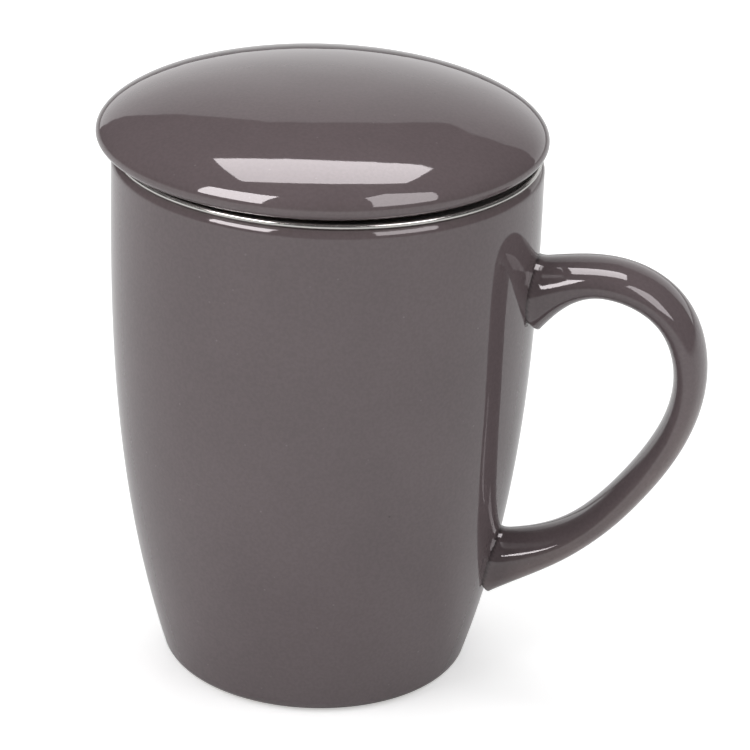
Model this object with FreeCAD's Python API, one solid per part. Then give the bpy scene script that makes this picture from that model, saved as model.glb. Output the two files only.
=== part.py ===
# Lidded tea mug with a lift-out infuser, in millimetres.
# The origin is on the mug's own axis, in the plane that its foot ring stands on.
# +Z is up and the handle is on +X.
import FreeCAD, Part
import math
import os

# Mug body
rim_radius = 42.5           # outside of the straight upper wall
mug_height = 108.3          # foot ring to the crest of the rim, without infuser and lid
wall = 4.0                  # glazed wall, as seen at the rim
floor_thickness = 5.0
foot_radius = 27.6          # outer edge of the flat foot ring
foot_width = 3.4
foot_recess = 1.6           # hollow of the underside inside the foot ring
foot_corner = 3.8           # rounding between foot ring and wall
foot_corner_turn = 68.0     # degrees that the rounding turns before the wall starts
belly_pull = 37.1           # how far up the foot's flare steers the wall
shoulder_pull = 25.2        # how far down the straight part steers it
straight_top = 6.8          # plain cylinder below the crest
inner_corner = 9.0          # rounding between floor and wall inside
corner_roundness = 0.6      # how far each side of it steers the rounding

# Handle, a separate casting luted on the wall. Distances out are from the outside of the rim.
handle_drop = 25.5          # crest of the rim to the centre of the upper joint
handle_foot_z = 23.4        # centre of the lower joint
handle_reach = 31.35        # centreline at its point farthest out
handle_far_drop = 14.4      # that point, below the upper joint
handle_crown_out = 12.0     # highest point of the centreline
handle_crown_rise = 4.9     # and its height above the upper joint
handle_shoulder_out = 26.4
handle_shoulder_drop = 0.7
handle_lower_out = 21.7     # middle of the lower sweep
handle_lower_rise = 20.5    # and its height above the lower joint
handle_heel_out = 7.5
handle_heel_rise = 6.4
grip_top = 7.2              # thickness of the strap at the crown
grip_middle = 6.3
grip_low = 6.5
joint_top = 15.4            # thickness at the upper joint, where the strap flares
joint_bottom = 13.6
flare_top = 0.16            # share of the path over which the upper joint flares
flare_bottom = 0.24
strap_width = 15.2          # across the strap at the crown
strap_width_low = 13.0      # and along the lower sweep
joint_top_width = 16.0
joint_bottom_width = 12.4
handle_sections = 17        # ovals that the strap is drawn through

# Infuser, pressed and rolled stainless steel
sheet = 0.5                 # rim and base
wall_sheet = 0.4            # perforated tube
seat_gap = 0.1              # between pieces that rest on each other
flange_setback = 0.5        # rolled edge inside the outside of the mug's rim
flange_bead = 1.0           # diameter of the rolled edge
bead_lift = 0.35            # its centre above the flange's underside
collar_room = 6.0           # mug's inner wall to the outside of the collar
collar_depth = 14.0
collar_bend = 1.6           # inner radius of the bend from flange to collar
wall_start = 5.2            # top edge of the perforated tube, below the flange
floor_room = 26.3           # mug's floor to the underside of the base
base_skirt = 5.0
base_bend = 1.0
base_gap = 0.6              # tube's lower edge above the base's floor
wall_hole = 2.4             # diameter of one perforation in the tube
wall_hole_column = 6.7      # from hole to hole round the tube
wall_hole_row = 5.4         # from row to row
wall_hole_margin = 4.4      # plain tube beside the collar and the base
base_hole = 2.4
base_hole_pitch = 5.4       # between the rings of holes
base_hole_margin = 3.8      # plain floor beside the bend

# Lid, a glazed dome that rests on the flange
lid_overhang = 1.84         # widest radius, outside the mug's rim
lid_height = 14.17          # foot to apex
lid_edge_height = 4.14      # foot to the widest radius
lid_foot_setback = 4.5      # outside of the resting foot, inside the outside of the mug's rim
lid_crown_flat = 28.3       # how far out the dome stays nearly level
lid_edge_pull = 3.4         # how far up the edge steers the dome
lid_edge_under = 2.0        # and how far down it steers the underside
lid_foot_spread = 3.04      # how far out and up the foot steers the underside
lid_foot_rise = 0.36
lid_wall = 4.4
lid_hollow_flat = 18.0      # how far out the hollow stays nearly level
lid_hollow_corner = 6.5     # rounding between the hollow and the ring
lid_hollow_drop = 1.5
ring_play = 1.6             # radial play of the lid's ring in the infuser's collar
ring_depth = 3.5
ring_wall = 3.4
lid_aside = 1.2             # the loose lid lies this far off centre, away from the handle

# Places that follow
inner_radius = rim_radius - wall
floor_z = foot_recess + floor_thickness
flange_bottom_z = mug_height + seat_gap
flange_top_z = flange_bottom_z + sheet
collar_radius = inner_radius - collar_room
collar_bottom_z = flange_top_z - collar_depth
tube_radius = collar_radius - sheet
base_z = floor_z + floor_room
base_top_z = base_z + base_skirt
lid_z = flange_top_z + seat_gap


def point(r, z):
    return FreeCAD.Vector(r, 0, z)


def line(start, end):
    return Part.LineSegment(start, end).toShape()


def arc(start, middle, end):
    return Part.Arc(start, middle, end).toShape()


def bezier_curve(poles):
    curve = Part.BezierCurve()
    curve.setPoles(poles)
    return curve


def bezier(poles):
    return bezier_curve(poles).toShape()


def turn(centre, radius, first, last):
    """An arc about a centre, from one angle to another in degrees, with its two ends."""
    def at(angle):
        a = math.radians(angle)
        return centre + point(radius * math.cos(a), radius * math.sin(a))
    return arc(at(first), at((first + last) / 2.0), at(last)), at(first), at(last)


def revolve(edges):
    face = Part.Face(Part.Wire(Part.__sortEdges__(edges)))
    return face.revolve(FreeCAD.Vector(0, 0, 0), FreeCAD.Vector(0, 0, 1), 360)


def cylinder(radius, height, z):
    return Part.makeCylinder(radius, height, point(0, z))


def drilled(solid, holes):
    return solid.cut(Part.makeCompound(holes)).Solids[0]


def foot_rounding():
    """The rounding between the foot ring and the flaring wall."""
    return turn(point(foot_radius, foot_corner), foot_corner, -90.0, foot_corner_turn - 90.0)


def wall_poles(inset):
    """The flaring wall, from the foot's rounding to the straight top, moved inwards by inset."""
    foot = foot_rounding()[2]
    top = mug_height - straight_top
    return [
        point(foot.x - inset, foot.z),
        point(rim_radius - inset, foot.z + belly_pull),
        point(rim_radius - inset, top - shoulder_pull),
        point(rim_radius - inset, top),
    ]


def place_on_wall(curve, z):
    """Where a wall curve passes a height."""
    level = Part.LineSegment(point(0, z), point(2.0 * rim_radius, z))
    return curve.intersect(level)[0].toShape().Point


def outer_edges(crest_z):
    """Outer edges of the mug, from the foot ring up to where the rim's rounding starts."""
    poles = wall_poles(0.0)
    return [foot_rounding()[0], bezier(poles), line(poles[3], point(rim_radius, crest_z))]


def mug_envelope():
    """The mug as a full solid, with no hollow, to trim the handle's joints."""
    top = point(rim_radius, mug_height)
    return revolve(outer_edges(mug_height) + [
        line(top, point(0, mug_height)),
        line(point(0, mug_height), point(0, 0)),
        line(point(0, 0), point(foot_radius, 0)),
    ])


def mug_body():
    """One casting: foot ring, flaring wall, rounded rim and the hollow for the tea."""
    crest_z = mug_height - wall / 2.0
    crest_middle = point(rim_radius - wall / 2.0, mug_height)
    crest_inside = point(inner_radius, crest_z)
    poles = wall_poles(wall)
    inside = bezier_curve(poles)
    inside.segment(inside.parameter(place_on_wall(inside, floor_z + inner_corner)), inside.LastParameter)
    low = inside.value(inside.FirstParameter)
    slope = inside.tangent(inside.FirstParameter)[0]
    steer = inner_corner * corner_roundness
    floor_edge = point(low.x - inner_corner, floor_z)
    ring_inner = foot_radius - foot_width
    recess_centre = point(ring_inner - foot_recess, 0)
    recess_rounding, recess_edge, ring_edge = turn(recess_centre, foot_recess, 90.0, 0.0)
    return revolve(outer_edges(crest_z) + [
        arc(point(rim_radius, crest_z), crest_middle, crest_inside),
        line(crest_inside, poles[3]),
        inside.toShape(),
        bezier([low, low - slope * steer, floor_edge + point(steer, 0), floor_edge]),
        line(floor_edge, point(0, floor_z)),
        line(point(0, floor_z), point(0, foot_recess)),
        line(point(0, foot_recess), recess_edge),
        recess_rounding,
        line(ring_edge, point(foot_radius, 0)),
    ])


def handle_path():
    """Centreline of the strap, from inside the wall at the top to inside it at the bottom."""
    outside = bezier_curve(wall_poles(0.0))
    into_wall = point(wall / 2.0, 0)
    top_z = mug_height - handle_drop
    low_z = handle_foot_z

    def out(distance, z):
        return point(rim_radius + distance, z)
    path = Part.BSplineCurve()
    path.interpolate([
        place_on_wall(outside, top_z) - into_wall,
        out(handle_crown_out, top_z + handle_crown_rise),
        out(handle_shoulder_out, top_z - handle_shoulder_drop),
        out(handle_reach, top_z - handle_far_drop),
        out(handle_lower_out, low_z + handle_lower_rise),
        out(handle_heel_out, low_z + handle_heel_rise),
        place_on_wall(outside, low_z) - into_wall,
    ])
    return path


def ease(first, last, share):
    """A smooth change from one size to another."""
    share = min(max(share, 0.0), 1.0)
    return first + (last - first) * share * share * (3.0 - 2.0 * share)


def strap_size(share):
    """Thickness and width of the strap at a share of its path."""
    thick = ease(grip_top, grip_middle, (share - 0.2) / 0.35)
    thick = ease(thick, grip_low, (share - 0.6) / 0.25)
    top = max(0.0, 1.0 - share / flare_top) ** 2
    bottom = max(0.0, 1.0 - (1.0 - share) / flare_bottom) ** 2
    thick += (joint_top - grip_top) * top + (joint_bottom - grip_low) * bottom
    width = ease(strap_width, strap_width_low, (share - 0.35) / 0.5)
    width += (joint_top_width - strap_width) * top + (joint_bottom_width - strap_width_low) * bottom
    return thick, width


def mug_handle():
    """A strap of oval section, drawn along its centreline and trimmed on the mug's wall."""
    path = handle_path()
    circle = Part.makeCircle(0.5)
    across = FreeCAD.Vector(0, 1, 0)
    sections = []
    for i in range(handle_sections):
        share = i / (handle_sections - 1.0)
        at = path.FirstParameter + (path.LastParameter - path.FirstParameter) * share
        along = path.tangent(at)[0]
        thick, width = strap_size(share)
        a = along.cross(across) * thick
        b = across * width
        c = path.value(at)
        oval = FreeCAD.Matrix(a.x, b.x, along.x, c.x,
                              a.y, b.y, along.y, c.y,
                              a.z, b.z, along.z, c.z, 0, 0, 0, 1)
        sections.append(Part.Wire(circle.transformGeometry(oval)))
    return Part.makeLoft(sections, True).cut(mug_envelope()).Solids[0]


def infuser_rim():
    """Pressed flange with a rolled edge, and a collar that hangs inside the mug."""
    bead = flange_bead / 2.0
    bead_centre = point(rim_radius - flange_setback - bead, flange_bottom_z + bead_lift)
    upper = math.degrees(math.asin((flange_top_z - bead_centre.z) / bead))
    lower = math.degrees(math.asin((bead_centre.z - flange_bottom_z) / bead))
    roll, roll_top, roll_bottom = turn(bead_centre, bead, 180.0 - upper, lower - 180.0)
    bend_centre = point(collar_radius + collar_bend, flange_bottom_z - collar_bend)
    over, over_top, over_side = turn(bend_centre, collar_bend + sheet, 90.0, 180.0)
    under, under_top, under_side = turn(bend_centre, collar_bend, 90.0, 180.0)
    lip_inside = point(tube_radius, collar_bottom_z)
    lip_outside = point(collar_radius, collar_bottom_z)
    return revolve([
        roll,
        line(roll_top, over_top),
        over,
        line(over_side, lip_inside),
        line(lip_inside, lip_outside),
        line(lip_outside, under_side),
        under,
        line(under_top, roll_bottom),
    ])


def infuser_wall():
    """Rolled perforated tube, welded inside the collar and the base's skirt."""
    bottom = base_z + sheet + base_gap
    height = flange_top_z - wall_start - bottom
    tube = cylinder(tube_radius, height, bottom).cut(cylinder(tube_radius - wall_sheet, height, bottom))
    first_z = collar_bottom_z - wall_hole_margin
    rows = int((first_z - base_top_z - wall_hole_margin) / wall_hole_row) + 1
    columns = int(2.0 * math.pi * tube_radius / wall_hole_column)
    holes = []
    for row in range(rows):
        for column in range(columns):
            angle = 2.0 * math.pi * (column + 0.5 * (row % 2)) / columns
            way = FreeCAD.Vector(math.cos(angle), math.sin(angle), 0)
            start = way * (tube_radius - 2.0 * wall_sheet) + point(0, first_z - row * wall_hole_row)
            holes.append(Part.makeCylinder(wall_hole / 2.0, 3.0 * wall_sheet, start, way))
    return drilled(tube, holes)


def infuser_base():
    """Pressed cap with a skirt round the tube and rings of holes in its floor."""
    base_radius = tube_radius + sheet
    bend_centre = point(base_radius - base_bend, base_z + base_bend)
    outside, outside_side, outside_floor = turn(bend_centre, base_bend, 0.0, -90.0)
    inside, inside_side, inside_floor = turn(bend_centre, base_bend - sheet, 0.0, -90.0)
    cap = revolve([
        line(point(0, base_z), outside_floor),
        outside,
        line(outside_side, point(base_radius, base_top_z)),
        line(point(base_radius, base_top_z), point(tube_radius, base_top_z)),
        line(point(tube_radius, base_top_z), inside_side),
        inside,
        line(inside_floor, point(0, base_z + sheet)),
        line(point(0, base_z + sheet), point(0, base_z)),
    ])
    holes = [cylinder(base_hole / 2.0, 3.0 * sheet, base_z - sheet)]
    for ring in range(1, int((outside_floor.x - base_hole_margin) / base_hole_pitch) + 1):
        for i in range(6 * ring):
            angle = 2.0 * math.pi * i / (6 * ring)
            hole = cylinder(base_hole / 2.0, 3.0 * sheet, base_z - sheet)
            hole.translate(FreeCAD.Vector(math.cos(angle), math.sin(angle), 0) * ring * base_hole_pitch)
            holes.append(hole)
    return drilled(cap, holes)


def lid():
    """Domed shell with a hollow underside, a foot that rests on the flange and a locating ring."""
    apex = point(0, lid_z + lid_height)
    edge = point(rim_radius + lid_overhang, lid_z + lid_edge_height)
    foot = point(rim_radius - lid_foot_setback, lid_z)
    hollow = apex - point(0, lid_wall)
    ring_outer = tube_radius - ring_play
    ring_inner = ring_outer - ring_wall
    tip_z = lid_z - ring_depth + ring_wall / 2.0
    tip_centre = point(ring_outer - ring_wall / 2.0, tip_z)
    tip, tip_outside, tip_inside = turn(tip_centre, ring_wall / 2.0, 0.0, -180.0)
    corner = point(ring_inner, hollow.z - lid_hollow_corner)
    corner_steer = point(ring_inner, hollow.z - lid_hollow_drop)
    solid = revolve([
        bezier([apex, apex + point(lid_crown_flat, 0), edge + point(0, lid_edge_pull), edge]),
        bezier([edge, edge - point(0, lid_edge_under), foot + point(lid_foot_spread, lid_foot_rise), foot]),
        line(foot, point(ring_outer, lid_z)),
        line(point(ring_outer, lid_z), tip_outside),
        tip,
        line(tip_inside, corner),
        bezier([corner, corner_steer, hollow + point(lid_hollow_flat, 0), hollow]),
        line(hollow, apex),
    ])
    solid.translate(FreeCAD.Vector(-lid_aside, 0, 0))
    return solid


def main():
    os.makedirs("parts", exist_ok=True)
    pieces = {
        "mug_body": mug_body(),
        "mug_handle": mug_handle(),
        "infuser_rim": infuser_rim(),
        "infuser_wall": infuser_wall(),
        "infuser_base": infuser_base(),
        "lid": lid(),
    }
    for name, shape in pieces.items():
        shape.exportStep("parts/" + name + ".step")
        print(name, "valid", shape.isValid(), "volume", round(shape.Volume, 1), "mm3")


main()
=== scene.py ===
import math

import bmesh
import bpy
import numpy as np
from mathutils import Matrix, Vector
from mathutils.geometry import interpolate_bezier


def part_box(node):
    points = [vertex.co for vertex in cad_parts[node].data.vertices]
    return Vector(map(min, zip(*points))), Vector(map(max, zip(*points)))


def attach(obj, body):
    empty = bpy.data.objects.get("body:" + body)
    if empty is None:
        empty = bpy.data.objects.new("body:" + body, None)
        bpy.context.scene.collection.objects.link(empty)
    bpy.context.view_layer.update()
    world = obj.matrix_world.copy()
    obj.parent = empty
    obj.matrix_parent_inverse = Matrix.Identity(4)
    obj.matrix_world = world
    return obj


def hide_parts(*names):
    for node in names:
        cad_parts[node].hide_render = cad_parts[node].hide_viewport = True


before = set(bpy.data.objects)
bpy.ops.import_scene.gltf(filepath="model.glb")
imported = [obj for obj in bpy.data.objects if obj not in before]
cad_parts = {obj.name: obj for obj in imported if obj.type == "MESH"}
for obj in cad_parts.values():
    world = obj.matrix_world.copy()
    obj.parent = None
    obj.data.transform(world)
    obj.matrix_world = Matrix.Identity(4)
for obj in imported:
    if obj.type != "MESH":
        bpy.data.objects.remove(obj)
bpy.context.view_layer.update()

bl_info = {
    "name": "Lidded tea mug with infuser",
    "version": (1, 0, 0),
    "blender": (4, 5, 0),
    "location": "3D View > Sidebar > Tea Mug",
    "description": "Glazed mug, lift-out steel infuser and domed lid, with a plain studio",
    "category": "Object",
}

MM = 0.001
AXIS = Vector((0, 0, 1))
RIM_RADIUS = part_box("mug_body")[1].x
MUG_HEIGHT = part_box("mug_body")[1].z
COLLAR_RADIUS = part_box("infuser_base")[1].x
BASE_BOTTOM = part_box("infuser_base")[0].z
ROUND_STEPS = 224
TOUCH = 0.01 * MM


def length(name, description, millimetres):
    return bpy.props.FloatProperty(
        name=name, description=description, default=millimetres * MM, unit="LENGTH", precision=5)


def share(name, description, default):
    return bpy.props.FloatProperty(
        name=name, description=description, default=default, min=0.0, max=1.0, subtype="FACTOR")


def number(name, description, default):
    return bpy.props.FloatProperty(name=name, description=description, default=default)


def angle(name, description, degrees):
    return bpy.props.FloatProperty(
        name=name, description=description, default=math.radians(degrees), subtype="ANGLE")


def count(name, description, default):
    return bpy.props.IntProperty(name=name, description=description, default=default, min=1)


def colour(name, description, default):
    return bpy.props.FloatVectorProperty(
        name=name, description=description, default=default, size=3, min=0.0, max=1.0, subtype="COLOR")


class MugSizes(bpy.types.PropertyGroup):
    """Sizes of the glazed mug and its handle. Distances out are from the outside of the rim."""
    wall: length("Wall", "Glazed wall at the rim", 4.0)
    floor_thickness: length("Floor", "Thickness of the floor", 5.0)
    foot_radius: length("Foot radius", "Outer edge of the flat foot ring", 27.6)
    foot_width: length("Foot width", "Width of the flat foot ring", 3.4)
    foot_recess: length("Foot recess", "Depth of the hollow inside the foot ring", 1.6)
    foot_corner: length("Foot corner", "Rounding from foot ring to wall", 3.8)
    foot_turn: angle("Foot turn", "Angle that the foot's rounding turns", 68.0)
    belly_pull: length("Belly pull", "How far up the flare steers the wall", 37.1)
    shoulder_pull: length("Shoulder pull", "How far down the straight part steers it", 25.2)
    straight_top: length("Straight top", "Plain cylinder below the crest", 6.8)
    inner_corner: length("Inner corner", "Rounding from floor to wall inside", 9.0)
    inner_roundness: share("Inner roundness", "How far each side steers that rounding", 0.6)
    bare_foot: length("Bare foot", "Height up to which the foot ring is left unglazed", 0.35)
    thin_rim: length("Thin rim", "Height below the crest over which the glaze runs thin", 2.2)
    thin_rim_share: share("Thin rim share", "How thin it runs there", 0.15)
    handle_drop: length("Upper joint", "Crest of the rim to the centre of the upper joint", 25.5)
    handle_foot: length("Lower joint", "Table to the centre of the lower joint", 23.4)
    handle_reach: length("Reach", "Centreline at its farthest point", 31.35)
    far_drop: length("Far drop", "That point below the upper joint", 14.4)
    crown_out: length("Crown out", "Highest point of the centreline", 12.0)
    crown_rise: length("Crown rise", "Its height above the upper joint", 4.9)
    shoulder_out: length("Shoulder out", "Where the strap turns down", 26.4)
    shoulder_drop: length("Shoulder drop", "That point below the upper joint", 0.7)
    lower_out: length("Lower sweep out", "Middle of the lower sweep", 21.7)
    lower_rise: length("Lower sweep rise", "Its height above the lower joint", 20.5)
    heel_out: length("Heel out", "Where the strap nears the lower joint", 7.5)
    heel_rise: length("Heel rise", "Its height above the lower joint", 6.4)
    grip_top: length("Grip top", "Thickness of the strap at the crown", 7.2)
    grip_middle: length("Grip middle", "Thickness at the outside of the bow", 6.3)
    grip_low: length("Grip low", "Thickness along the lower sweep", 6.5)
    joint_top: length("Upper flare", "Height of the strap at the upper joint", 15.4)
    joint_bottom: length("Lower flare", "Height of the strap at the lower joint", 13.6)
    flare_top: share("Upper flare length", "Share of the path over which it flares", 0.16)
    flare_bottom: share("Lower flare length", "Share of the path over which it flares", 0.24)
    strap_width: length("Strap width", "Across the strap at the crown", 15.2)
    strap_width_low: length("Lower strap width", "Across the strap along the lower sweep", 13.0)
    joint_top_width: length("Upper joint width", "Across the upper joint", 16.0)
    joint_bottom_width: length("Lower joint width", "Across the lower joint", 12.4)
    slip_spread: length("Slip spread", "How far the slip creeps out on the wall round a joint", 0.5)
    # Where the handle's outside runs thin: thin glaze and a painted sheen on the outward side.
    thin_from: share("Thin from", "Share of the strap's path from which its outside runs thin", 0.33)
    # Painted shade: the height of the dark line painted in the crease round each joint.
    painted_crease_shade_line: length("Seam line", "Height of the dark line round a joint", 0.5)
    slip_reach: length("Slip reach", "How far up the strap the slip starts", 2.4)


class InfuserSizes(bpy.types.PropertyGroup):
    """Sizes of the steel infuser."""
    sheet: length("Sheet", "Steel of the rim and base", 0.5)
    wall_sheet: length("Wall sheet", "Steel of the perforated wall", 0.4)
    seat_gap: length("Seat gap", "Between pieces that rest on each other", 0.1)
    flange_setback: length("Flange setback", "Rolled edge inside the outside of the mug's rim", 0.5)
    bead: length("Bead", "Diameter of the rolled edge", 1.0)
    bead_lift: length("Bead lift", "Its centre above the flange's underside", 0.35)
    collar_depth: length("Collar depth", "Flange to the collar's lower edge", 14.0)
    collar_bend: length("Collar bend", "Inner radius of the bend", 1.6)
    wall_start: length("Wall start", "Top edge of the wall below the flange", 5.2)
    base_skirt: length("Base skirt", "Height of the base's skirt", 5.0)
    base_bend: length("Base bend", "Outer radius of the base's bend", 1.0)
    base_gap: length("Base gap", "Wall's lower edge above the base's floor", 0.6)
    plain_margin: length("Plain margin", "Wall without holes beside the collar and the base", 1.6)
    hole: length("Hole", "Diameter of one perforation", 1.1)
    columns: count("Columns", "Holes round the wall", 96)
    rows: count("Rows", "Rows of holes in the wall", 26)
    base_hole: length("Base hole", "Diameter of one perforation in the base", 1.3)
    base_pitch: length("Base pitch", "From ring to ring of holes in the base", 2.6)
    base_rings: count("Base rings", "Rings of holes in the base", 11)


class LidSizes(bpy.types.PropertyGroup):
    """Sizes of the glazed lid."""
    overhang: length("Overhang", "Widest radius outside the mug's rim", 1.84)
    height: length("Height", "Foot to apex", 14.17)
    edge_height: length("Edge height", "Foot to the widest radius", 3.47)
    foot_setback: length("Foot setback", "Outside of the foot inside the mug's rim", 4.5)
    crown_flat: length("Crown flat", "How far out the dome stays nearly level", 28.55)
    edge_pull: length("Edge pull", "How far up the edge steers the dome", 4.45)
    edge_under: length("Edge under", "How far down it steers the underside", 1.9)
    foot_spread: length("Foot spread", "How far out the foot steers the underside", 2.67)
    foot_rise: length("Foot rise", "How far up the foot steers the underside", 0.36)
    wall: length("Wall", "Thickness of the shell", 4.4)
    hollow_flat: length("Hollow flat", "How far out the hollow stays nearly level", 18.0)
    hollow_corner: length("Hollow corner", "Rounding from hollow to ring", 6.5)
    hollow_drop: length("Hollow drop", "How far the hollow steers that rounding", 1.5)
    ring_play: length("Ring play", "Radial play of the ring in the collar", 1.6)
    ring_depth: length("Ring depth", "How far the ring hangs down", 3.5)
    ring_wall: length("Ring wall", "Thickness of the ring", 3.4)
    bare_foot: length("Bare foot", "Height up to which the resting foot is left unglazed", 0.1)
    thin_edge: length("Thin edge", "Height each side of the edge over which the glaze runs thin", 3.0)
    thin_edge_share: share("Thin edge share", "How thin it runs there", 0.1)


class Finishes(bpy.types.PropertyGroup):
    """Colours and finishes."""
    glaze: colour("Glaze", "Where the glaze is thick", (0.125, 0.099, 0.104))
    thin_glaze: colour("Thin glaze", "Where the glaze runs thin", (0.205, 0.163, 0.158))
    clay: colour("Clay", "Bare stoneware", (0.36, 0.29, 0.23))
    speck: colour("Speck", "Fine pale specks in the glaze", (0.42, 0.38, 0.38))
    speck_share: share("Speck share", "How strongly the specks show", 0.14)
    pinhole: colour("Pinhole", "Dark pinholes in the glaze", (0.03, 0.025, 0.025))
    pinhole_share: share("Pinhole share", "How strongly the pinholes show", 0.5)
    # Painted shade: dark colour painted in the crease where the handle meets the wall.
    seam: colour("Seam", "Dark line where a joint meets the wall", (0.02, 0.017, 0.017))
    painted_crease_shade_share: share("Seam share", "How strongly that line shows", 0.75)
    gloss: share("Glaze roughness", "Roughness of the glassy surface", 0.04)
    glaze_index: number("Glaze index", "Refractive index of the glassy surface", 1.55)
    steel: colour("Steel", "Stainless steel", (0.62, 0.61, 0.585))
    steel_roughness: share("Steel roughness", "Roughness of the pressed steel", 0.16)
    steel_metallic: share("Steel metallic", "Below 1 for the dull film that handling leaves", 0.86)


class Studio(bpy.types.PropertyGroup):
    """Camera, lights and floor. The camera looks from a little to the handle's side of the front."""
    camera_turn: angle("Camera turn", "Camera from the front towards the handle", 10.44)
    distance: length("Distance", "Camera to the mug's axis, on the level", 650.0)
    camera_height: length("Height", "Camera above the table", 346.56)
    yaw: number("Yaw", "Camera's heading off the mug's axis, in radians", 0.01644)
    pitch: number("Pitch", "Camera's dip, in radians", 0.41407)
    roll: number("Roll", "Camera's lean, in radians", 0.03612)
    focal: number("Focal length", "In photo widths", 4.704)


GROUPS = {"mug": MugSizes, "infuser": InfuserSizes, "lid": LidSizes, "finish": Finishes, "studio": Studio}


def settings(group):
    return getattr(bpy.context.scene, "tea_" + group)


def flange_top():
    s = settings("infuser")
    return MUG_HEIGHT + s.seat_gap + s.sheet


def point(r, z):
    return Vector((r, 0.0, z))


def curve(poles, steps):
    """Points along a Bezier curve of four poles, its last point left to the next stretch."""
    return [Vector(p) for p in interpolate_bezier(*poles, steps + 1)][:-1]


def turn(centre, radius, first, last, steps):
    """Points along an arc in the XZ plane, from one angle to another in degrees, both ends included."""
    points = []
    for i in range(steps + 1):
        a = math.radians(first + (last - first) * i / steps)
        points.append(centre + point(radius * math.cos(a), radius * math.sin(a)))
    return points


def straight(start, end, steps):
    """Points along a straight stretch, its last point left to the next one."""
    return [start.lerp(end, i / steps) for i in range(steps)]


def new_piece(name, bm):
    mesh = bpy.data.meshes.new(name)
    bmesh.ops.recalc_face_normals(bm, faces=bm.faces)
    for face in bm.faces:
        face.smooth = True
    bm.to_mesh(mesh)
    bm.free()
    piece = bpy.data.objects.new(name, mesh)
    bpy.context.scene.collection.objects.link(piece)
    return piece


def spun(points, steps, closed=False):
    """A bmesh of an outline turned about the Z axis. An open outline starts and ends on the axis."""
    bm = bmesh.new()
    verts = [bm.verts.new(p) for p in points]
    ends = verts[1:] + (verts[:1] if closed else [])
    edges = [bm.edges.new(pair) for pair in zip(verts, ends)]
    bmesh.ops.spin(bm, geom=verts + edges, cent=(0, 0, 0), axis=AXIS, angle=2.0 * math.pi,
                   steps=steps, use_merge=True)
    bmesh.ops.remove_doubles(bm, verts=bm.verts, dist=0.002 * MM)
    bmesh.ops.dissolve_degenerate(bm, edges=bm.edges, dist=0.001 * MM)
    return bm


def paint(bm, name, value):
    """Stores a number on each vertex, for the materials to read."""
    layer = bm.verts.layers.float.new(name)
    for vert in bm.verts:
        vert[layer] = value(vert.co)


def fade(low, high, value):
    """0 below low, 1 above high, smooth between."""
    t = min(max((value - low) / (high - low), 0.0), 1.0)
    return t * t * (3.0 - 2.0 * t)


def ready(piece, material, body, slot, *nodes):
    """Gives a piece its material and its body, and hides the nodes that it stands for. The slot is not
    used.
    """
    piece.data.materials.append(material)
    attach(piece, body)
    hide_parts(*nodes)


# Materials

class Nodes:
    """A material's node tree, with short calls to add nodes and links."""

    def __init__(self, name):
        self.material = bpy.data.materials.new(name)
        self.material.use_nodes = True
        self.tree = self.material.node_tree
        self.tree.nodes.clear()

    def add(self, kind, **values):
        node = self.tree.nodes.new("ShaderNode" + kind)
        for key, value in values.items():
            if hasattr(node, key):
                setattr(node, key, value)
            else:
                node.inputs[key.replace("_", " ")].default_value = value
        return node

    def link(self, start, end):
        self.tree.links.new(start, end)

    def noise(self, coordinates, scale, detail, roughness=0.5):
        node = self.add("TexNoise", Scale=scale, Detail=detail, Roughness=roughness)
        self.link(coordinates, node.inputs["Vector"])
        return node.outputs["Fac"]

    def dots(self, coordinates, scale, size, choice_scale, choice):
        """Round dots, 1 at the middle and 0 past size, in the cells that a second noise chooses."""
        cells = self.add("TexVoronoi", Scale=scale)
        self.link(coordinates, cells.inputs["Vector"])
        dot = self.ramp(cells.outputs["Distance"], *size, 1.0, 0.0)
        chosen = self.ramp(self.noise(cells.outputs["Position"], choice_scale, 0.0), *choice)
        return self.math("MULTIPLY", dot, chosen)

    def grey(self, value):
        node = self.add("CombineColor")
        for socket in node.inputs[:3]:
            self.link(value, socket)
        return node.outputs[0]

    def ramp(self, source, low, high, out_low=0.0, out_high=1.0):
        node = self.add("MapRange", interpolation_type="SMOOTHSTEP")
        node.inputs["From Min"].default_value = low
        node.inputs["From Max"].default_value = high
        node.inputs["To Min"].default_value = out_low
        node.inputs["To Max"].default_value = out_high
        self.link(source, node.inputs["Value"])
        return node.outputs["Result"]

    def math(self, operation, first, second):
        node = self.add("Math", operation=operation)
        for socket, value in zip(node.inputs, (first, second)):
            if isinstance(value, (int, float)):
                socket.default_value = value
            else:
                self.link(value, socket)
        return node.outputs["Value"]

    def mix(self, factor, first, second, blend="MIX"):
        node = self.add("Mix", data_type="RGBA", blend_type=blend)
        for socket, value in zip((node.inputs[0], node.inputs[6], node.inputs[7]), (factor, first, second)):
            if isinstance(value, (int, float)):
                socket.default_value = value
            elif isinstance(value, (tuple, list)):
                socket.default_value = (*value, 1.0)
            else:
                self.link(value, socket)
        return node.outputs[2]

    def finish(self, shader):
        output = self.add("OutputMaterial")
        self.link(shader.outputs[0], output.inputs["Surface"])
        return self.material


# How often each feature of the glaze comes, per metre, and how far it goes.
CLOUDS = 38.0
GRAINS = 1500.0
TONE_RANGE = (0.955, 1.045)
RUNS = 160.0
SPECKS = 420.0
PINHOLES = 190.0
WAVES = 55.0
RIPPLES = 420.0
RIPPLE_SHARE = 0.05
BARE_ROUGHNESS = 0.6


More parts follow.
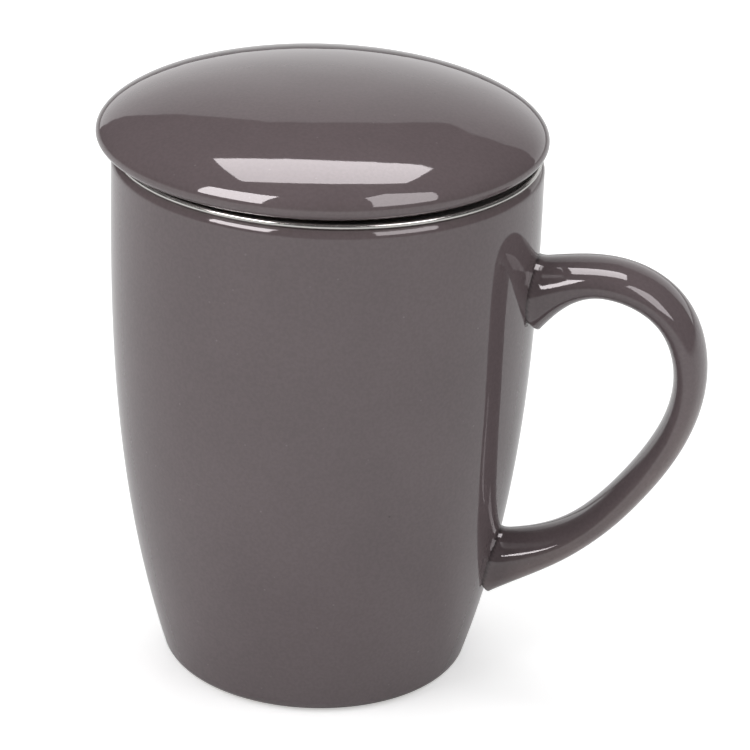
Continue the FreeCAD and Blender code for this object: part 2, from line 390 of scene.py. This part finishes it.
def glaze_material():
    """Glossy warm-grey glaze: cloudy tone, fine specks and pinholes, thin and brown over edges. It also
    carries painted shade in the crease round the handle's joints, and a painted sheen on the handle's
    outward side.
    """
    s = settings("finish")
    n = Nodes("warm_grey_glaze")
    where = n.add("TexCoord").outputs["Object"]
    thin = n.add("Attribute", attribute_name="thin").outputs["Fac"]
    bare = n.add("Attribute", attribute_name="bare").outputs["Fac"]
    seam = n.add("Attribute", attribute_name="seam").outputs["Fac"]
    cloud = n.ramp(n.noise(where, CLOUDS, 3.0), 0.3, 0.7, *TONE_RANGE)
    grain = n.ramp(n.noise(where, GRAINS, 2.0), 0.3, 0.7, *TONE_RANGE)
    tone = n.math("MULTIPLY", cloud, grain)
    # On the handle the thin glaze colour also paints a sheen on the outward side.
    run = n.math("MULTIPLY", thin, n.ramp(n.noise(where, RUNS, 2.0), 0.25, 0.6, 0.65, 1.0))
    base = n.mix(run, tuple(s.glaze), tuple(s.thin_glaze))
    base = n.mix(1.0, base, n.grey(tone), "MULTIPLY")
    speck = n.dots(where, SPECKS, (0.05, 0.11), 260.0, (0.60, 0.66))
    base = n.mix(n.math("MULTIPLY", speck, s.speck_share), base, tuple(s.speck))
    pinhole = n.dots(where, PINHOLES, (0.02, 0.06), 210.0, (0.60, 0.65))
    base = n.mix(n.math("MULTIPLY", pinhole, s.pinhole_share), base, tuple(s.pinhole))
    # Painted shade: darkens the crease where the handle meets the wall.
    base = n.mix(n.math("MULTIPLY", seam, s.painted_crease_shade_share), base, tuple(s.seam))
    base = n.mix(bare, base, tuple(s.clay))
    ripple = n.math("MULTIPLY", n.noise(where, RIPPLES, 1.0), RIPPLE_SHARE)
    bump = n.add("Bump", Strength=0.25, Distance=0.0004)
    n.link(n.math("ADD", n.noise(where, WAVES, 1.0), ripple), bump.inputs["Height"])
    shader = n.add("BsdfPrincipled")
    shader.inputs["IOR"].default_value = s.glaze_index
    n.link(base, shader.inputs["Base Color"])
    n.link(bump.outputs["Normal"], shader.inputs["Normal"])
    rough = n.math("ADD", s.gloss, n.math("MULTIPLY", bare, BARE_ROUGHNESS))
    n.link(rough, shader.inputs["Roughness"])
    return n.finish(shader)


def steel_material(name, roughness, brushed):
    """Stainless steel with fine drawn lines and faint smears."""
    s = settings("finish")
    n = Nodes(name)
    where = n.add("TexCoord").outputs["Object"]
    stretch = n.add("Mapping")
    stretch.inputs["Scale"].default_value = brushed
    n.link(where, stretch.inputs["Vector"])
    lines = n.noise(stretch.outputs["Vector"], 1.0, 3.0, 0.7)
    smear = n.noise(where, 60.0, 3.0)
    shader = n.add("BsdfPrincipled", Metallic=s.steel_metallic)
    tint = n.grey(n.ramp(lines, 0.2, 0.8, 0.9, 1.05))
    n.link(n.mix(1.0, tuple(s.steel), tint, "MULTIPLY"), shader.inputs["Base Color"])
    rough = n.math("ADD", n.ramp(lines, 0.3, 0.7, roughness * 0.75, roughness * 1.3),
                   n.ramp(smear, 0.5, 0.8, 0.0, 0.05))
    n.link(rough, shader.inputs["Roughness"])
    bump = n.add("Bump", Strength=0.04, Distance=0.00005)
    n.link(lines, bump.inputs["Height"])
    n.link(bump.outputs["Normal"], shader.inputs["Normal"])
    return n.finish(shader)


def material(name):
    """A finish by name, made the first time it is asked for."""
    makers = {
        "warm_grey_glaze": glaze_material,
        "pressed_steel": lambda: steel_material(
            "pressed_steel", settings("finish").steel_roughness, (300.0, 300.0, 9000.0)),
        "perforated_steel": lambda: steel_material(
            "perforated_steel", settings("finish").steel_roughness * 1.5, (2600.0, 2600.0, 140.0)),
    }
    return bpy.data.materials.get(name) or makers[name]()


# Shapes

def foot_rounding(steps=14):
    s = settings("mug")
    return turn(point(s.foot_radius, s.foot_corner), s.foot_corner, -90.0,
                math.degrees(s.foot_turn) - 90.0, steps)


def wall_poles(inset):
    """The flaring wall, from the foot's rounding to the straight top, moved inwards by inset."""
    s = settings("mug")
    foot = foot_rounding()[-1]
    rim = RIM_RADIUS - inset
    top = MUG_HEIGHT - s.straight_top
    return [point(foot.x - inset, foot.z), point(rim, foot.z + s.belly_pull),
            point(rim, top - s.shoulder_pull), point(rim, top)]


WALL_CACHE = {}


def wall_radius(z):
    """Outside radius of the mug at a height."""
    outline = WALL_CACHE.setdefault("outside", curve(wall_poles(0.0), 200) + [wall_poles(0.0)[3]])
    return float(np.interp(z, [p.z for p in outline], [p.x for p in outline]))


def mug_outline():
    """Half section of the mug, from the axis on top of the floor round to the axis below it."""
    s = settings("mug")
    height = MUG_HEIGHT
    rim = RIM_RADIUS
    half = s.wall / 2.0
    floor_z = s.foot_recess + s.floor_thickness
    inside = curve(wall_poles(s.wall), 120) + [wall_poles(s.wall)[3]]
    inside = [p for p in inside if p.z >= floor_z + s.inner_corner]
    low = inside[0]
    slope = (inside[1] - inside[0]).normalized()
    steer = s.inner_corner * s.inner_roundness
    floor_edge = point(low.x - s.inner_corner, floor_z)
    ring_inner = s.foot_radius - s.foot_width
    recess = turn(point(ring_inner - s.foot_recess, 0.0), s.foot_recess, 90.0, 0.0, 8)
    outside = curve(wall_poles(0.0), 110)
    straight_z = height - s.straight_top
    points = straight(point(0.0, floor_z), floor_edge, 14)
    points += curve([floor_edge, floor_edge + point(steer, 0.0), low - slope * steer, low], 14)
    points += inside[:-1]
    points += straight(point(rim - s.wall, straight_z), point(rim - s.wall, height - half), 6)
    points += turn(point(rim - half, height - half), half, 180.0, 0.0, 22)
    points += straight(point(rim, height - half), point(rim, straight_z), 6)[1:]
    points += [point(rim, straight_z)] + outside[:0:-1]
    points += foot_rounding()[::-1]
    points += straight(point(s.foot_radius, 0.0), point(ring_inner, 0.0), 6)[1:]
    points += recess[::-1]
    points += straight(recess[0], point(0.0, s.foot_recess), 12)[1:]
    points += [point(0.0, s.foot_recess)]
    return points


def make_mug_body():
    s = settings("mug")
    height = MUG_HEIGHT
    bm = spun(mug_outline(), ROUND_STEPS)
    crest = (height - s.thin_rim, height - 0.3 * s.thin_rim)
    paint(bm, "thin", lambda p: s.thin_rim_share * fade(*crest, p.z))
    inner = s.foot_radius - s.foot_width - s.foot_recess

    def bare(p):
        r = math.hypot(p.x, p.y)
        if r < inner or r > s.foot_radius + s.foot_corner:
            return 0.0
        return 1.0 - fade(s.bare_foot, 2.0 * s.bare_foot, p.z)
    paint(bm, "bare", bare)
    piece = new_piece("glazed_mug", bm)
    ready(piece, material("warm_grey_glaze"), "mug", "mug_glaze", "mug_body")


def smooth_path(knots, steps):
    """Points along a curve with no kinks through the knots, with their directions."""
    knots = np.array([tuple(k) for k in knots])
    at = np.concatenate([[0.0], np.cumsum(np.linalg.norm(np.diff(knots, axis=0), axis=1))])
    gaps = np.diff(at)
    size = len(at)
    matrix = np.eye(size)
    target = np.zeros((size, 3))
    for i in range(1, size - 1):
        matrix[i, i - 1:i + 2] = gaps[i - 1], 2.0 * (gaps[i - 1] + gaps[i]), gaps[i]
        target[i] = 6.0 * ((knots[i + 1] - knots[i]) / gaps[i] - (knots[i] - knots[i - 1]) / gaps[i - 1])
    bend = np.linalg.solve(matrix, target)
    path = []
    for t in np.linspace(0.0, at[-1], steps + 1):
        i = min(int(np.searchsorted(at, t, "right")) - 1, size - 2)
        h, a, b = gaps[i], at[i + 1] - t, t - at[i]
        place = (bend[i] * a ** 3 + bend[i + 1] * b ** 3) / (6.0 * h)
        place += (knots[i] / h - bend[i] * h / 6.0) * a + (knots[i + 1] / h - bend[i + 1] * h / 6.0) * b
        along = (bend[i + 1] * b ** 2 - bend[i] * a ** 2) / (2.0 * h)
        along += (knots[i + 1] - knots[i]) / h - (bend[i + 1] - bend[i]) * h / 6.0
        path.append((Vector(place), Vector(along).normalized()))
    return path


def handle_knots():
    s = settings("mug")
    rim = RIM_RADIUS
    top = MUG_HEIGHT - s.handle_drop
    low = s.handle_foot
    return [
        point(wall_radius(top) - s.wall / 2.0, top),
        point(rim + s.crown_out, top + s.crown_rise),
        point(rim + s.shoulder_out, top - s.shoulder_drop),
        point(rim + s.handle_reach, top - s.far_drop),
        point(rim + s.lower_out, low + s.lower_rise),
        point(rim + s.heel_out, low + s.heel_rise),
        point(wall_radius(low) - s.wall / 2.0, low),
    ]


def ease(first, last, where):
    return first + (last - first) * fade(0.0, 1.0, where)


def strap_size(where):
    """Thickness and width of the strap at a share of its path."""
    s = settings("mug")
    thick = ease(s.grip_top, s.grip_middle, (where - 0.2) / 0.35)
    thick = ease(thick, s.grip_low, (where - 0.6) / 0.25)
    top = max(0.0, 1.0 - where / s.flare_top) ** 2
    bottom = max(0.0, 1.0 - (1.0 - where) / s.flare_bottom) ** 2
    thick += (s.joint_top - s.grip_top) * top + (s.joint_bottom - s.grip_low) * bottom
    width = ease(s.strap_width, s.strap_width_low, (where - 0.35) / 0.5)
    width += (s.joint_top_width - s.strap_width) * top + (s.joint_bottom_width - s.strap_width_low) * bottom
    return thick, width


def thin_glaze_and_sheen(where, outwards):
    """How thin the glaze has run at a share of the strap's path, most on the side that faces out. It is
    real thin glaze and also a painted sheen that lightens the outward side.
    """
    start = settings("mug").thin_from
    along = fade(start, start + 0.25, where) * (1.0 - 0.7 * fade(0.88, 0.98, where))
    return along * fade(-0.4, 0.5, outwards)


def make_handle():
    """Ovals bridged along the centreline, with a fillet of slip where the strap meets the wall."""
    s = settings("mug")
    steps = 320
    sides = 48
    across = Vector((0.0, 1.0, 0.0))
    bm = bmesh.new()
    # On the handle this layer carries thin glaze and a painted sheen, lighter on the outward side.
    thin = bm.verts.layers.float.new("thin")
    rings = []
    for i, (place, along) in enumerate(smooth_path(handle_knots(), steps)):
        thick, width = strap_size(i / steps)
        outward = along.cross(across)
        frame_of = Matrix((outward * thick / 2.0, across * width / 2.0, along)).transposed().to_4x4()
        frame_of.translation = place
        made = bmesh.ops.create_circle(bm, segments=sides, radius=1.0, matrix=frame_of)
        ring = made["verts"]
        for vert in ring:
            vert[thin] = thin_glaze_and_sheen(i / steps, (vert.co - place).normalized().dot(outward))
            off_wall = math.hypot(vert.co.x, vert.co.y) - wall_radius(vert.co.z)
            creep = max(0.0, 1.0 - max(off_wall, 0.0) / s.slip_reach) ** 3
            vert.co += (vert.co - place).normalized() * s.slip_spread * creep
        rings.append(list(dict.fromkeys(edge for vert in ring for edge in vert.link_edges)))
    for first, second in zip(rings, rings[1:]):
        bmesh.ops.bridge_loops(bm, edges=first + second)
    for end in (rings[0], rings[-1]):
        bmesh.ops.edgeloop_fill(bm, edges=end)
    paint(bm, "bare", lambda p: 0.0)

    # Painted shade in the crease where the strap meets the wall, darkest at the wall.
    def seam(p):
        off_wall = math.hypot(p.x, p.y) - wall_radius(p.z)
        return 1.0 - fade(0.2 * s.painted_crease_shade_line, s.painted_crease_shade_line, off_wall)
    paint(bm, "seam", seam)
    piece = new_piece("glazed_handle", bm)
    ready(piece, material("warm_grey_glaze"), "mug", "mug_glaze", "mug_handle")


def lid_outline():
    """Half section of the lid, from the apex over the edge and the foot to the top of the hollow."""
    s = settings("lid")
    lid_z = flange_top() + settings("infuser").seat_gap
    apex = point(0.0, lid_z + s.height)
    edge = point(RIM_RADIUS + s.overhang, lid_z + s.edge_height)
    foot = point(RIM_RADIUS - s.foot_setback, lid_z)
    hollow = apex - point(0.0, s.wall)
    ring_outer = COLLAR_RADIUS - settings("infuser").sheet - s.ring_play
    ring_inner = ring_outer - s.ring_wall
    tip_z = lid_z - s.ring_depth + s.ring_wall / 2.0
    corner = point(ring_inner, hollow.z - s.hollow_corner)
    steer = point(ring_inner, hollow.z - s.hollow_drop)
    points = curve([apex, apex + point(s.crown_flat, 0.0), edge + point(0.0, s.edge_pull), edge], 110)
    under = foot + point(s.foot_spread, s.foot_rise)
    points += curve([edge, edge - point(0.0, s.edge_under), under, foot], 30)
    points += straight(foot, point(ring_outer, lid_z), 8)
    points += straight(point(ring_outer, lid_z), point(ring_outer, tip_z), 5)
    points += turn(point(ring_outer - s.ring_wall / 2.0, tip_z), s.ring_wall / 2.0, 0.0, -180.0, 14)
    points += straight(point(ring_inner, tip_z), corner, 6)[1:]
    points += curve([corner, steer, hollow + point(s.hollow_flat, 0.0), hollow], 30)
    points += [hollow]
    return points


def make_lid():
    s = settings("lid")
    lid_z = flange_top() + settings("infuser").seat_gap
    low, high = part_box("lid")
    bm = spun(lid_outline(), ROUND_STEPS)
    ring_outer = COLLAR_RADIUS - settings("infuser").sheet - s.ring_play
    edge_z = lid_z + s.edge_height

    def bare(p):
        r = math.hypot(p.x, p.y)
        outside = fade(ring_outer - 0.2 * MM, ring_outer, r)
        return outside * (1.0 - fade(s.bare_foot, 3.0 * s.bare_foot, p.z - lid_z))
    paint(bm, "bare", bare)

    def thin(p):
        near_edge = 1.0 - fade(0.0, s.thin_edge, abs(p.z - edge_z))
        return s.thin_edge_share * near_edge * fade(0.9 * RIM_RADIUS, RIM_RADIUS, math.hypot(p.x, p.y))
    paint(bm, "thin", thin)
    bmesh.ops.translate(bm, verts=bm.verts, vec=((low[0] + high[0]) / 2.0, 0.0, 0.0))
    piece = new_piece("glazed_lid", bm)
    ready(piece, material("warm_grey_glaze"), "lid", "lid_glaze", "lid")


def make_infuser_rim():
    s = settings("infuser")
    top = flange_top()
    bottom = top - s.sheet
    outer = COLLAR_RADIUS
    inner = outer - s.sheet
    bead = s.bead / 2.0
    centre = point(RIM_RADIUS - s.flange_setback - bead, bottom + s.bead_lift)
    upper = math.degrees(math.asin((top - centre.z) / bead))
    lower = math.degrees(math.asin((centre.z - bottom) / bead))
    bend = point(outer + s.collar_bend, bottom - s.collar_bend)
    roll = turn(centre, bead, lower - 180.0, 180.0 - upper, 26)
    over = turn(bend, s.collar_bend + s.sheet, 90.0, 180.0, 12)
    under = turn(bend, s.collar_bend, 180.0, 90.0, 12)
    lip = top - s.collar_depth
    points = roll + straight(roll[-1], over[0], 10)[1:] + over
    points += straight(over[-1], point(inner, lip), 12)[1:]
    points += turn(point((inner + outer) / 2.0, lip + s.sheet / 2.0), s.sheet / 2.0, -180.0, 0.0, 6)
    points += straight(point(outer, lip + s.sheet / 2.0), under[0], 12)[1:] + under
    points += straight(under[-1], roll[0], 10)[1:]
    piece = new_piece("infuser_flange", spun(points, ROUND_STEPS, closed=True))
    ready(piece, material("pressed_steel"), "infuser", "steel", "infuser_rim")


def make_infuser_wall():
    """One cell with a hole, bent to the tube's radius, spun round and stacked up, between plain bands."""
    s = settings("infuser")
    radius = COLLAR_RADIUS - s.sheet
    bottom = BASE_BOTTOM + s.sheet + s.base_gap
    top = flange_top() - s.wall_start
    first = BASE_BOTTOM + s.base_skirt + s.plain_margin
    rise = (flange_top() - s.collar_depth - s.plain_margin - first) / s.rows
    step = 2.0 * math.pi / s.columns
    bm = bmesh.new()
    hole = bmesh.ops.create_circle(bm, segments=8, radius=s.hole / 2.0)["verts"]
    cell = bmesh.ops.create_circle(bm, segments=8, radius=1.0)["verts"]
    for vert in cell:
        square = vert.co / max(abs(vert.co.x), abs(vert.co.y))
        vert.co = Vector((square.x * step * radius / 2.0, square.y * rise / 2.0, 0.0))
    bmesh.ops.bridge_loops(bm, edges=bm.edges[:])
    for vert in hole + cell:
        bend = vert.co.x / radius
        vert.co = Vector((radius * math.cos(bend), radius * math.sin(bend), first + rise / 2.0 + vert.co.y))
    bmesh.ops.spin(bm, geom=bm.verts[:] + bm.edges[:] + bm.faces[:], cent=(0, 0, 0), axis=AXIS,
                   angle=step * (s.columns - 1), steps=s.columns - 1, use_duplicate=True)
    row = bm.verts[:] + bm.edges[:] + bm.faces[:]
    for i in range(1, s.rows):
        made = bmesh.ops.duplicate(bm, geom=row)["geom"]
        copy = [e for e in made if isinstance(e, bmesh.types.BMVert)]
        bmesh.ops.rotate(bm, verts=copy, matrix=Matrix.Rotation(step / 2.0 * (i % 2), 3, AXIS))
        bmesh.ops.translate(bm, verts=copy, vec=(0.0, 0.0, rise * i))
    bmesh.ops.remove_doubles(bm, verts=bm.verts, dist=TOUCH)
    for start, end in ((first, bottom), (first + rise * s.rows, top)):
        edge = [e for e in bm.edges
                if e.is_boundary and all(abs(v.co.z - start) < TOUCH for v in e.verts)]
        grown = bmesh.ops.extrude_edge_only(bm, edges=edge)["geom"]
        for vert in grown:
            if isinstance(vert, bmesh.types.BMVert):
                vert.co.z = end
    thicken(bm, (radius - s.wall_sheet) / radius)
    piece = new_piece("infuser_tube", bm)
    piece.data.set_sharp_from_angle(angle=math.radians(50.0))
    ready(piece, material("perforated_steel"), "infuser", "steel", "infuser_wall")


def thicken(bm, shrink):
    """Gives a sheet round the Z axis its thickness, by a copy drawn in towards the axis."""
    made = bmesh.ops.extrude_face_region(bm, geom=bm.faces[:], use_keep_orig=True)["geom"]
    inner = [e for e in made if isinstance(e, bmesh.types.BMVert)]
    bmesh.ops.scale(bm, verts=inner, vec=(shrink, shrink, 1.0))


def make_infuser_base():
    """A perforated floor, filled round its holes, joined to a spun bend and skirt."""
    s = settings("infuser")
    outer = COLLAR_RADIUS
    bottom = BASE_BOTTOM
    flat = outer - s.base_bend
    centre = point(flat, bottom + s.base_bend)
    top = bottom + s.base_skirt
    outside = turn(centre, s.base_bend, -90.0, 0.0, 8)
    inside = turn(centre, s.base_bend - s.sheet, 0.0, -90.0, 8)
    lip = turn(point(outer - s.sheet / 2.0, top - s.sheet / 2.0), s.sheet / 2.0, 0.0, 180.0, 6)
    profile = outside + straight(outside[-1], lip[0], 4)[1:] + lip
    profile += straight(lip[-1], inside[0], 4)[1:] + inside
    steps = 192
    bm = spun(profile, steps)
    floor = bmesh.new()
    bmesh.ops.create_circle(floor, segments=steps, radius=flat)
    for ring in range(s.base_rings):
        for i in range(max(6 * ring, 1)):
            turned = Matrix.Rotation(2.0 * math.pi * i / max(6 * ring, 1), 4, AXIS)
            place = turned @ Matrix.Translation((ring * s.base_pitch, 0.0, 0.0))
            bmesh.ops.create_circle(floor, segments=10, radius=s.base_hole / 2.0, matrix=place)
    bmesh.ops.triangle_fill(floor, use_beauty=True, edges=floor.edges[:])
    made = bmesh.ops.extrude_face_region(floor, geom=floor.faces[:], use_keep_orig=True)["geom"]
    upper = [e for e in made if isinstance(e, bmesh.types.BMVert)]
    bmesh.ops.translate(floor, verts=upper, vec=(0.0, 0.0, s.sheet))
    rim = [f for f in floor.faces if abs(f.normal.z) < 0.5
           and all(math.hypot(v.co.x, v.co.y) > flat - TOUCH for v in f.verts)]
    bmesh.ops.delete(floor, geom=rim, context="FACES_ONLY")
    bmesh.ops.translate(floor, verts=floor.verts, vec=(0.0, 0.0, bottom))
    sheet = bpy.data.meshes.new("floor_sheet")
    floor.to_mesh(sheet)
    floor.free()
    bm.from_mesh(sheet)
    bpy.data.meshes.remove(sheet)
    bmesh.ops.remove_doubles(bm, verts=bm.verts, dist=TOUCH)
    piece = new_piece("infuser_bottom", bm)
    piece.data.set_sharp_from_angle(angle=math.radians(50.0))
    ready(piece, material("pressed_steel"), "infuser", "steel", "infuser_base")


# Stage

def towards(azimuth, elevation):
    """A direction seen from the mug, in degrees. Azimuth 0 points at the camera, 90 to its right."""
    a = math.radians(azimuth) + settings("studio").camera_turn
    e = math.radians(elevation)
    return Vector((math.sin(a) * math.cos(e), -math.cos(a) * math.cos(e), math.sin(e)))


def glossy_only(obj):
    """Lets only reflections see a card, so that it shows in glaze and steel and adds no light."""
    obj.visible_camera = False
    obj.visible_diffuse = False
    obj.visible_transmission = False
    obj.visible_volume_scatter = False
    obj.visible_shadow = False


CARD_DISTANCE = 3.0
SOFTBOX_TINT = (1.0, 0.935, 0.957)
WHITE = (1.0, 1.0, 1.0)

# Windows of direction that the cards fill, as azimuth and elevation of each corner in degrees.
LEFT_SOFTBOX = ((-30, 23), (-38, 67), (-80, 53), (-64, 21))
RIGHT_SOFTBOX = ((27, 27), (60, 24), (84, 55), (78, 71), (44, 70))
OVERHEAD_SOFTBOX = ((-120, 69), (128, 67), (148, 54), (155, 53), (-152, 52))
BACKDROP = ((-149, 0), (-151, 11), (-157, 19), (-161, 26), (-170, 33), (-174, 36), (180, 36),
            (174, 34.5), (167, 31), (161, 33), (152, 31.5), (135, 18), (128, 0))

# Each card's name, window, tint, strength and how much of it is lost by its upper edge.
CARDS = (
    ("left_softbox", LEFT_SOFTBOX, SOFTBOX_TINT, 13.0, 0.0),
    ("right_softbox", RIGHT_SOFTBOX, SOFTBOX_TINT, 5.5, 0.0),
    ("overhead_softbox", OVERHEAD_SOFTBOX, SOFTBOX_TINT, 7.8, 0.0),
    ("backdrop", BACKDROP, WHITE, 1.12, 0.6),
)

# Each lamp's name, azimuth, elevation, distance in metres and radiance.
LAMPS = (
    ("left_lamp", -56.0, 38.0, 1.5, 3.4),
    ("right_lamp", 59.0, 44.0, 1.5, 2.0),
    ("top_lamp", 180.0, 68.0, 1.6, 3.0),
)
LAMP_SIZE = 1.0
WORLD_FILL = 0.45
ROOM_IN_GLOSS = 0.05
FLOOR_SIZE = 6.0
FLOOR_PAINT = 0.82
FLOOR_LIFT = 0.45


def make_card(name, corners, tint, strength, loss):
    """An emissive card that fills a window of directions in reflections."""
    ways = [towards(azimuth, elevation) for azimuth, elevation in corners]
    middle = sum(ways, Vector()).normalized()
    centre = Vector((0.0, 0.0, MUG_HEIGHT))
    bm = bmesh.new()
    verts = [bm.verts.new(centre + way * CARD_DISTANCE / way.dot(middle)) for way in ways]
    bmesh.ops.contextual_create(bm, geom=verts)
    low = min(vert.co.z for vert in verts)
    high = max(vert.co.z for vert in verts)
    card = stage_piece(name, bm, card_material(name + "_glow", tint, low, high, strength, loss))
    glossy_only(card)


def card_material(name, tint, low, high, strength, loss):
    """A glow that fades from the card's lower edge to its upper one."""
    n = Nodes(name)
    place = n.add("SeparateXYZ")
    n.link(n.add("TexCoord").outputs["Object"], place.inputs[0])
    glow = n.add("Emission")
    glow.inputs["Color"].default_value = (*tint, 1.0)
    level = n.ramp(place.outputs["Z"], low, high, strength, strength * (1.0 - loss))
    n.link(level, glow.inputs["Strength"])
    return n.finish(glow)


def stage_piece(name, bm, finish):
    """Makes a mesh of the stage, which isn't part of the mug."""
    mesh = bpy.data.meshes.new(name)
    bm.to_mesh(mesh)
    bm.free()
    mesh.materials.append(finish)
    obj = bpy.data.objects.new(name, mesh)
    bpy.context.scene.collection.objects.link(obj)
    return obj


def make_lamp(name, azimuth, elevation, distance, radiance):
    """A soft square lamp that aims at the mug and lights it without showing in its gloss."""
    light = bpy.data.lights.new(name, "AREA")
    light.shape = "SQUARE"
    light.size = LAMP_SIZE
    light.energy = radiance * math.pi * LAMP_SIZE * LAMP_SIZE
    obj = bpy.data.objects.new(name, light)
    bpy.context.scene.collection.objects.link(obj)
    place = towards(azimuth, elevation) * distance
    obj.location = Vector((0.0, 0.0, MUG_HEIGHT / 2.0)) + place
    obj.rotation_euler = place.to_track_quat("Z", "Y").to_euler()
    obj.visible_glossy = False
    obj.visible_camera = False


def floor_material():
    """Pale floor. The camera sees it a little brighter, so that it runs into the white surroundings."""
    n = Nodes("studio_floor")
    path = n.add("LightPath")
    pale = n.add("BsdfDiffuse")
    pale.inputs["Color"].default_value = (FLOOR_PAINT, FLOOR_PAINT, FLOOR_PAINT, 1.0)
    glow = n.add("Emission")
    n.link(n.math("MULTIPLY", path.outputs["Is Camera Ray"], FLOOR_LIFT), glow.inputs["Strength"])
    both = n.add("AddShader")
    n.link(pale.outputs[0], both.inputs[0])
    n.link(glow.outputs[0], both.inputs[1])
    return n.finish(both)


def make_floor():
    bm = bmesh.new()
    bmesh.ops.create_grid(bm, x_segments=1, y_segments=1, size=FLOOR_SIZE)
    stage_piece("studio_floor", bm, floor_material())


def make_world():
    """White for the camera, an even fill for the light, and a dark room in reflections."""
    world = bpy.data.worlds.new("studio_world")
    world.use_nodes = True
    bpy.context.scene.world = world
    nodes = world.node_tree.nodes
    links = world.node_tree.links
    nodes.clear()
    path = nodes.new("ShaderNodeLightPath")
    seen = nodes.new("ShaderNodeMath")
    seen.operation = "MAXIMUM"
    links.new(path.outputs["Is Camera Ray"], seen.inputs[0])
    links.new(path.outputs["Is Transmission Ray"], seen.inputs[1])
    room = nodes.new("ShaderNodeMix")
    room.inputs["A"].default_value = WORLD_FILL
    room.inputs["B"].default_value = ROOM_IN_GLOSS
    links.new(path.outputs["Is Glossy Ray"], room.inputs["Factor"])
    level = nodes.new("ShaderNodeMix")
    level.inputs["B"].default_value = 1.0
    links.new(seen.outputs[0], level.inputs["Factor"])
    links.new(room.outputs["Result"], level.inputs["A"])
    back = nodes.new("ShaderNodeBackground")
    links.new(level.outputs["Result"], back.inputs["Strength"])
    output = nodes.new("ShaderNodeOutputWorld")
    links.new(back.outputs[0], output.inputs["Surface"])


def make_camera():
    s = settings("studio")
    level = Vector((math.sin(s.yaw), math.cos(s.yaw), 0.0))
    forward = level * math.cos(s.pitch) - AXIS * math.sin(s.pitch)
    right = Vector((math.cos(s.yaw), -math.sin(s.yaw), 0.0))
    up = right.cross(forward)
    level_right = right * math.cos(s.roll) + up * math.sin(s.roll)
    level_up = up * math.cos(s.roll) - right * math.sin(s.roll)
    axes = Matrix((level_right, level_up, -forward)).transposed().to_4x4()
    axes.translation = Vector((0.0, -s.distance, s.camera_height))
    camera = bpy.data.cameras.new("photo_camera")
    camera.sensor_fit = "HORIZONTAL"
    camera.sensor_width = 36.0
    camera.lens = s.focal * camera.sensor_width
    obj = bpy.data.objects.new("photo_camera", camera)
    bpy.context.scene.collection.objects.link(obj)
    obj.matrix_world = Matrix.Rotation(s.camera_turn, 4, AXIS) @ axes
    bpy.context.scene.camera = obj


def make_stage():
    scene = bpy.context.scene
    scene.view_settings.view_transform = "Standard"
    make_world()
    make_floor()
    make_camera()
    for card in CARDS:
        make_card(*card)
    for lamp in LAMPS:
        make_lamp(*lamp)


# Operators

class TEAMUG_OT_mug(bpy.types.Operator):
    """Make the glazed mug, spun from its half section"""
    bl_idname = "teamug.mug"
    bl_label = "Mug"

    def execute(self, context):
        make_mug_body()
        return {"FINISHED"}


class TEAMUG_OT_handle(bpy.types.Operator):
    """Make the strap handle with its two slipped joints"""
    bl_idname = "teamug.handle"
    bl_label = "Handle"

    def execute(self, context):
        make_handle()
        return {"FINISHED"}


class TEAMUG_OT_infuser(bpy.types.Operator):
    """Make the steel infuser: flange with collar, perforated tube and perforated base"""
    bl_idname = "teamug.infuser"
    bl_label = "Infuser"

    def execute(self, context):
        make_infuser_rim()
        make_infuser_wall()
        make_infuser_base()
        return {"FINISHED"}


class TEAMUG_OT_lid(bpy.types.Operator):
    """Make the glazed lid, spun from its half section"""
    bl_idname = "teamug.lid"
    bl_label = "Lid"

    def execute(self, context):
        make_lid()
        return {"FINISHED"}


class TEAMUG_OT_stage(bpy.types.Operator):
    """Make the floor, the lights, the white surroundings and the camera"""
    bl_idname = "teamug.stage"
    bl_label = "Stage"

    def execute(self, context):
        make_stage()
        return {"FINISHED"}


class TEAMUG_PT_panel(bpy.types.Panel):
    """Lists the mug's pieces, their sizes and the stage"""
    bl_label = "Tea Mug"
    bl_idname = "TEAMUG_PT_panel"
    bl_space_type = "VIEW_3D"
    bl_region_type = "UI"
    bl_category = "Tea Mug"

    def draw(self, context):
        for operator in OPERATORS:
            self.layout.operator(operator.bl_idname)
        for group, kind in GROUPS.items():
            box = self.layout.box()
            box.label(text=group.capitalize())
            for name in kind.__annotations__:
                box.prop(settings(group), name)


OPERATORS = (TEAMUG_OT_mug, TEAMUG_OT_handle, TEAMUG_OT_infuser, TEAMUG_OT_lid, TEAMUG_OT_stage)
CLASSES = tuple(GROUPS.values()) + OPERATORS + (TEAMUG_PT_panel,)


def register():
    for kind in CLASSES:
        bpy.utils.register_class(kind)
    for group, kind in GROUPS.items():
        setattr(bpy.types.Scene, "tea_" + group, bpy.props.PointerProperty(type=kind))


def unregister():
    for group in GROUPS:
        delattr(bpy.types.Scene, "tea_" + group)
    for kind in reversed(CLASSES):
        bpy.utils.unregister_class(kind)


def main():
    register()
    bpy.ops.teamug.mug()
    bpy.ops.teamug.handle()
    bpy.ops.teamug.infuser()
    bpy.ops.teamug.lid()
    bpy.ops.teamug.stage()


if __name__ == "__main__":
    main()
